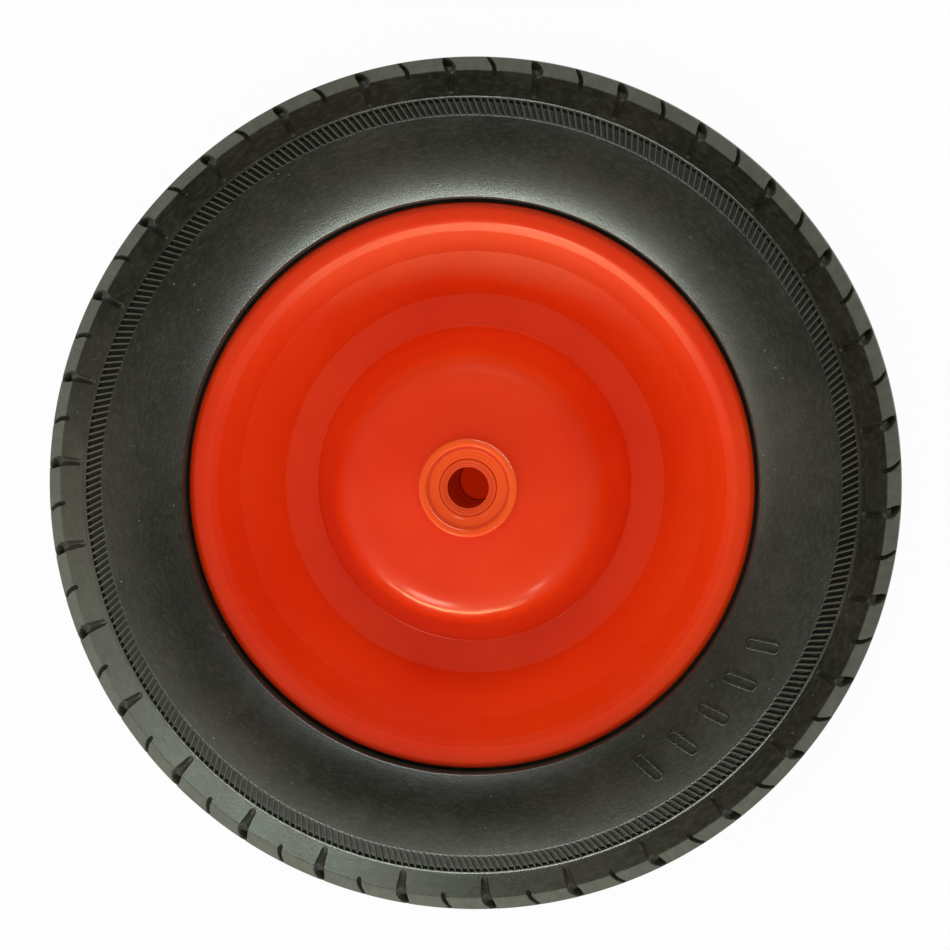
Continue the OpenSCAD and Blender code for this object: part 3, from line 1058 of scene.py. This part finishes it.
@dataclass
class HubTube:
    """The tube through both domes, with its ends rolled in over the bearings."""

    radius: float = 20.0
    bead: float = 20.3
    end: float = 42.0
    lap: float = 16.9
    face: float = 40.0
    seat: float = 17.5
    shelf: float = 30.0
    bore: float = 15.5

    def build(self, finishes: Finishes) -> bpy.types.Object:
        """Revolves the tube.

        Args:
            finishes: The wheel's finishes.

        Returns:
            The tube.
        """
        half: list[Corner] = [
            (self.radius, 0.0, 0.0),
            (self.radius, 38.3, 0.0),
            (self.bead, 38.7, 0.2),
            (self.bead, self.end, 1.3),
            (self.lap, self.end, 1.3),
            (self.lap, self.face, 0.2),
            (self.seat, self.face, 0.0),
            (self.seat, self.shelf, 0.0),
            (self.bore, self.shelf, 0.4),
            (self.bore, 0.0, 0.0),
        ]
        draft = MeshDraft()
        draft.revolve(rounded(mirrored(half), step=10.0), 192)
        return draft.piece("hub_tube_rolled", Body.WHEEL, finishes.face, Slot.PAINT, ["hub_tube"])


@dataclass
class Bearing:
    """One sealed ball bearing; its outer face took the wheel's paint."""

    side: Side
    centre: float = 35.0
    half: float = 5.0
    bore: float = 8.5
    inner_land: float = 11.6
    outer_land: float = 14.4
    radius: float = 17.5
    seat: float = 16.0
    pitch: float = 13.0
    ball: float = 4.762
    play: float = 0.08
    seal: float = 0.8
    recess: float = 0.3
    seal_gap: float = 0.4

    def groove(self, r: float, out: bool) -> list[Corner]:
        """The ball groove's arc across a race's land.

        Args:
            r: The land's radius.
            out: True in the outer race, where the groove lies outside the land.

        Returns:
            The arc's points, from the inner side to the outer one.
        """
        deep = self.ball / 2 + self.play
        reach = math.sqrt(deep**2 - (r - self.pitch) ** 2)
        sweep = math.degrees(math.atan2(reach, abs(r - self.pitch)))
        start, end = (-sweep, sweep) if out else (180 + sweep, 180 - sweep)
        return arc((self.pitch, self.centre), (deep, deep), start, end, 14)

    def outer_race(self, finishes: Finishes) -> bpy.types.Object:
        """Revolves the outer race.

        Args:
            finishes: The wheel's finishes.

        Returns:
            The race.
        """
        lo, hi = self.centre - self.half, self.centre + self.half
        step = self.seal + self.recess
        section: list[Corner] = [
            (self.radius, lo, 0.4),
            (self.radius, hi, 0.4),
            (self.seat, hi, 0.15),
            (self.seat, hi - step, 0.0),
            (self.outer_land, hi - step, 0.0),
            *self.groove(self.outer_land, True)[::-1],
            (self.outer_land, lo + step, 0.0),
            (self.seat, lo + step, 0.0),
            (self.seat, lo, 0.15),
        ]
        draft = MeshDraft()
        draft.revolve(rounded(section), 160)
        name = f"{self.side.word}_outer_race"
        return draft.piece(f"{name}_ground", Body.WHEEL, finishes.race, Slot.RACE, [name], self.side)

    def inner_race(self, finishes: Finishes) -> bpy.types.Object:
        """Revolves the inner race, with the turned step round its bore.

        Args:
            finishes: The wheel's finishes.

        Returns:
            The race.
        """
        lo, hi = self.centre - self.half, self.centre + self.half
        section: list[Corner] = [
            (self.bore, lo, 0.3),
            (self.bore, hi - 0.5, 0.15),
            (self.bore + 1.0, hi - 0.5, 0.08),
            (self.bore + 1.0, hi, 0.2),
            (self.bore + 1.5, hi, 0.2),
            (self.bore + 1.62, hi - 0.22, 0.05),
            (self.bore + 1.82, hi - 0.22, 0.05),
            (self.bore + 1.94, hi, 0.2),
            (self.inner_land, hi, 0.4),
            *self.groove(self.inner_land, False)[::-1],
            (self.inner_land, lo, 0.4),
        ]
        draft = MeshDraft()
        draft.revolve(rounded(section), 160)
        name = f"{self.side.word}_inner_race"
        return draft.piece(f"{name}_ground", Body.AXLE_SET, finishes.race, Slot.RACE, [name], self.side)

    def outside_seal(self, finishes: Finishes) -> bpy.types.Object:
        """Revolves the painted seal with its shallow ribs.

        Args:
            finishes: The wheel's finishes.

        Returns:
            The seal.
        """
        top = self.centre + self.half - self.recess
        low = top - self.seal
        lip = self.inner_land + self.seal_gap
        section: list[Corner] = [
            (self.seat, low, 0.0),
            (self.seat, top, 0.12),
            (15.5, top, 0.1),
            (15.3, top - 0.15, 0.1),
            (13.2, top - 0.15, 0.1),
            (12.9, top, 0.1),
            (lip, top, 0.15),
            (lip - 0.08, top - 0.35, 0.05),
            (lip - 0.26, top - 0.42, 0.0),
            (lip - 0.26, low, 0.0),
        ]
        draft = MeshDraft()
        draft.revolve(rounded(section, step=20.0), 160)
        name = f"{self.side.word}_outside_seal"
        return draft.piece(f"{name}_ribbed", Body.WHEEL, finishes.face, Slot.SEAL, [name], self.side)

    def dress(self, finishes: Finishes) -> None:
        """Gives the balls, cage and inside seal their finishes.

        Args:
            finishes: The wheel's finishes.
        """
        for name, node in frame["nodes"].items():
            if not name.startswith(self.side.word):
                continue
            if "_ball_cage" in name:
                finish, slot = finishes.brass, Slot.BRASS
            elif "_inside_seal" in name:
                finish, slot = finishes.rubber, Slot.RUBBER
            elif "_ball_" in name:
                finish, slot = finishes.steel, Slot.STEEL
            else:
                continue
            node.data.materials.clear()
            node.data.materials.append(finish)
            LOG.info("%s: kept with %s", name, slot.value)

    def build(self, finishes: Finishes) -> None:
        """Builds the races and the outside seal, and dresses what is kept.

        Args:
            finishes: The wheel's finishes.
        """
        self.outer_race(finishes)
        self.inner_race(finishes)
        self.outside_seal(finishes)
        self.dress(finishes)


@dataclass
class AxleSpacer:
    """The tube between the two inner races, seen down the bore."""

    outer: float = 10.7
    inner: float = 8.7
    half: float = 30.0

    def build(self, finishes: Finishes) -> bpy.types.Object:
        """Revolves the spacer.

        Args:
            finishes: The wheel's finishes.

        Returns:
            The spacer.
        """
        half: list[Corner] = [
            (self.outer, 0.0, 0.0),
            (self.outer, self.half, 0.3),
            (self.inner, self.half, 0.3),
            (self.inner, 0.0, 0.0),
        ]
        draft = MeshDraft()
        draft.revolve(rounded(mirrored(half)), 128)
        return draft.piece("axle_spacer_tube", Body.AXLE_SET, finishes.paint, Slot.STEEL, ["axle_spacer"])


# The studio


RIM_PIECES = ("rim_half_sheet",)
STEEL_PIECES = ("rim_half_sheet", "hub_tube", "race", "seal", "spacer")
BEAD_PIECES = ("tyre_carcass", "bar_relief")
FOAM_PIECES = ("tyre_carcass", "tread_band", "serrations", "bar_relief")


@dataclass(frozen=True)
class Lamp:
    """One soft lamp that looks at the wheel's middle: its place and size in metres, and its power."""

    name: str
    place: tuple[float, float, float]
    size: Point
    power: float
    use: LampUse = LampUse.BOTH
    only_on: tuple[str, ...] = ()
    shaded_by: tuple[str, ...] = ()
    tint: str = "f4fffb"

    @staticmethod
    def group(name: str, words: tuple[str, ...]) -> bpy.types.Collection:
        """The pieces whose names hold one of some words, for a lamp that minds only them.

        Args:
            name: The collection's name.
            words: Words in the names of the pieces.

        Returns:
            The collection, which isn't part of the scene's own.
        """
        made = bpy.data.collections.new(name)
        for piece in bpy.context.scene.objects:
            if piece.type == "MESH" and any(word in piece.name for word in words):
                made.objects.link(piece)
        return made

    def hang(self) -> None:
        """Makes the lamp in the scene."""
        data = bpy.data.lights.new(self.name, "AREA")
        data.shape = "RECTANGLE"
        data.size, data.size_y = self.size
        data.energy = self.power
        data.color = linear(self.tint)[:3]
        made = bpy.data.objects.new(self.name, data)
        made.location = self.place
        made.rotation_euler = (-Vector(self.place)).to_track_quat("-Z", "Y").to_euler()
        made.visible_diffuse = self.use is not LampUse.SHEEN
        made.visible_glossy = self.use is not LampUse.FILL
        if self.only_on:
            made.light_linking.receiver_collection = self.group(f"{self.name}_lit", self.only_on)
        if self.shaded_by:
            made.light_linking.blocker_collection = self.group(f"{self.name}_shade", self.shaded_by)
        bpy.context.scene.collection.objects.link(made)


@dataclass
class Studio:
    """A white table and soft low lamps, with the camera above the wheel.

    Under the bore the table has a deep red glow painted on it, an emission that stands in for the light the orange
    paint throws down the bore.
    """

    table_z: float = -44.2
    painted_bore_glow: str = "981600"
    distance: float = 900.0
    lean: Point = (0.065, 0.045)
    aim: Point = (0.3, 3.6)
    view_angle: float = 25.42
    sky_towards: Point = (-0.26, -0.97)
    horizon: float = 2.3
    middle: Point = (0.5, 1.05)
    zenith: float = 0.5
    lamps: tuple[Lamp, ...] = (
        Lamp("low_fill", (-0.3, -1.37, 0.26), (1.7, 0.3), 6.5, LampUse.FILL),
        Lamp("far_fill", (0.1, 1.0, 0.9), (0.8, 0.6), 4.0, LampUse.FILL),
        Lamp("low_window", (-0.3, -1.37, 0.26), (1.7, 0.3), 6.0, LampUse.SHEEN, STEEL_PIECES, (), "ffe9c0"),
        Lamp("wall_glow", (-0.24, -1.37, 0.185), (3.2, 0.14), 115.0, LampUse.SHEEN, RIM_PIECES, ("tyre_carcass",), "ffdc98"),
        Lamp("tall_window", (-0.45, -1.11, 0.72), (0.4, 0.35), 4.5, LampUse.SHEEN, STEEL_PIECES, (), "fff0d8"),
        Lamp("right_lamp", (0.58, -1.05, 0.72), (0.15, 0.3), 0.9, LampUse.SHEEN, STEEL_PIECES, (), "fff0d8"),
        Lamp("high_panel", (-0.4, -0.573, 1.212), (1.0, 0.9), 0.3, LampUse.SHEEN, STEEL_PIECES, (), "ffe9c0"),
        Lamp("bead_window", (0.75, 1.05, 0.5), (1.8, 0.4), 22.0, LampUse.SHEEN, ("hub_tube",)),
        Lamp("mouth_window", (0.0, -1.33, 0.42), (3.0, 0.2), 125.0, LampUse.SHEEN, BEAD_PIECES, (), "f3fff4"),
        Lamp("side_window", (-1.25, -0.3, 0.5), (0.6, 0.3), 4.5, LampUse.SHEEN, FOAM_PIECES, (), "fff8e4"),
        Lamp("soft_panel", (-0.4, -0.573, 1.212), (1.0, 0.9), 2.2, LampUse.SHEEN, FOAM_PIECES, (), "fff4d8"),
        Lamp("shoulder_window", (-0.6, -0.86, 0.95), (0.8, 0.5), 16.0, LampUse.SHEEN, ("tread_band",), (), "eefff0"),
        Lamp("mouth_glint", (0.25, 1.3, 0.34), (1.6, 0.08), 30.0, LampUse.SHEEN, ("tyre_carcass",)),
    )

    def table(self) -> bpy.types.Object:
        """Lays the white table, which looks white to the camera, with a deep red glow painted under the bore.

        Returns:
            The table.
        """
        g = NodeGraph("white_table")
        shade = g.node("ShaderNodeBsdfDiffuse", {"Color": (0.9, 0.9, 0.9, 1.0)}).outputs[0]
        glow = g.node("ShaderNodeEmission", {"Color": (1, 1, 1, 1), "Strength": 1.0}).outputs[0]
        rays = g.node("ShaderNodeLightPath")
        seen = g.sum(rays.outputs["Is Camera Ray"], rays.outputs["Is Glossy Ray"], "MAXIMUM")
        seen = g.sum(seen, rays.outputs["Is Transmission Ray"], "MAXIMUM")
        far = g.node("ShaderNodeVectorMath", {0: g.place}, operation="LENGTH").outputs["Value"]
        share = g.sum(seen, 0.95, "MULTIPLY")
        mixed = g.node("ShaderNodeMixShader", {0: share, 1: shade, 2: glow}).outputs[0]
        # Painted glow: under the bore the table emits deep red in place of the light that the orange paint throws down
        # it.
        painted_glow = g.node("ShaderNodeEmission", {"Color": linear(self.painted_bore_glow), "Strength": 0.95}).outputs[0]
        mixed = g.node("ShaderNodeMixShader", {0: g.spread(far, 0.02, 0.03), 1: painted_glow, 2: mixed}).outputs[0]
        g.tree.links.new(mixed, g.output.inputs["Surface"])
        half = 3.0
        mesh = bpy.data.meshes.new("white_table")
        corners = [(-half, -half, 0), (half, -half, 0), (half, half, 0), (-half, half, 0)]
        mesh.from_pydata(corners, [], [(0, 1, 2, 3)])
        mesh.materials.append(g.material)
        made = bpy.data.objects.new("white_table", mesh)
        made.location = (0.0, 0.0, self.table_z * MM)
        bpy.context.scene.collection.objects.link(made)
        return made

    @staticmethod
    def ramp(
        tree: bpy.types.NodeTree, value: bpy.types.NodeSocket, span: Point, ends: tuple[object, object]
    ) -> bpy.types.NodeSocket:
        """A smooth ramp between two ends, each a number or a socket.

        Args:
            tree: The world's node tree.
            value: What drives the ramp.
            span: Values at which the ramp starts and ends.
            ends: Results before and after the ramp.

        Returns:
            The result.
        """
        made = tree.nodes.new("ShaderNodeMapRange")
        made.interpolation_type = "SMOOTHSTEP"
        tree.links.new(value, made.inputs["Value"])
        made.inputs["From Min"].default_value, made.inputs["From Max"].default_value = span
        for name, end in zip(("To Min", "To Max"), ends):
            if isinstance(end, bpy.types.NodeSocket):
                tree.links.new(end, made.inputs[name])
            else:
                made.inputs[name].default_value = end
        return made.outputs["Result"]

    def light(self) -> None:
        """Hangs the lamps and lights the sky: bright low down on the window side and dim overhead."""
        for lamp in self.lamps:
            lamp.hang()
        world = bpy.data.worlds.new("studio_sky")
        world.use_nodes = True
        tree = world.node_tree
        tree.nodes.clear()
        out = tree.nodes.new("ShaderNodeOutputWorld")
        sky = tree.nodes.new("ShaderNodeBackground")
        sky.inputs["Color"].default_value = (1.0, 1.0, 1.0, 1.0)
        way = tree.nodes.new("ShaderNodeTexCoord").outputs["Generated"]
        height = tree.nodes.new("ShaderNodeSeparateXYZ")
        tree.links.new(way, height.inputs[0])
        towards = tree.nodes.new("ShaderNodeVectorMath")
        towards.operation = "DOT_PRODUCT"
        towards.inputs[1].default_value = (*self.sky_towards, 0.0)
        tree.links.new(way, towards.inputs[0])
        low = self.ramp(tree, towards.outputs["Value"], (-1.0, 1.0), (0.0, 1.0))
        power = tree.nodes.new("ShaderNodeMath")
        power.operation = "POWER"
        power.inputs[1].default_value = 2.0
        tree.links.new(low, power.inputs[0])
        band = self.ramp(tree, power.outputs[0], (0.0, 1.0), (0.0, self.horizon))
        middle = self.ramp(tree, towards.outputs["Value"], (-0.9, 0.9), self.middle)
        lower = self.ramp(tree, height.outputs["Z"], (0.12, 0.34), (band, middle))
        whole = self.ramp(tree, height.outputs["Z"], (0.84, 0.95), (lower, self.zenith))
        rays = tree.nodes.new("ShaderNodeLightPath")
        seen = self.ramp(tree, rays.outputs["Is Camera Ray"], (0.0, 1.0), (whole, 1.0))
        tree.links.new(seen, sky.inputs["Strength"])
        tree.links.new(sky.outputs[0], out.inputs["Surface"])
        bpy.context.scene.world = world
        world.cycles_visibility.glossy = False
        bpy.context.scene.view_settings.view_transform = "Standard"

    def camera(self) -> bpy.types.Object:
        """Sets the camera above the front face, a little to the right and towards the top.

        Returns:
            The camera.
        """
        data = bpy.data.cameras.new("camera")
        data.sensor_width = 36.0
        data.lens = data.sensor_width / 2 / math.tan(math.radians(self.view_angle) / 2)
        made = bpy.data.objects.new("camera", data)
        spot = Vector((self.lean[0], self.lean[1], 1.0)) * self.distance * MM
        back = (spot - Vector((self.aim[0], self.aim[1], 0.0)) * MM).normalized()
        right = Vector((0.0, 1.0, 0.0)).cross(back).normalized()
        turn = Matrix((right, back.cross(right), back)).transposed().to_4x4()
        made.matrix_world = Matrix.Translation(spot) @ turn
        bpy.context.scene.collection.objects.link(made)
        bpy.context.scene.camera = made
        return made

    def build(self) -> None:
        """Makes the table, the lights and the camera."""
        self.camera()
        self.table()
        self.light()


def main() -> None:
    """Builds the wheel and the studio."""
    logging.basicConfig(level=logging.INFO, format="%(name)s: %(message)s")
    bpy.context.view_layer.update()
    finishes = Finishes()
    Tyre().build(finishes)
    for side in Side:
        RimHalf(side).build(finishes)
        Bearing(side).build(finishes)
    HubTube().build(finishes)
    AxleSpacer().build(finishes)
    Studio().build()


if __name__ == "__main__":
    main()
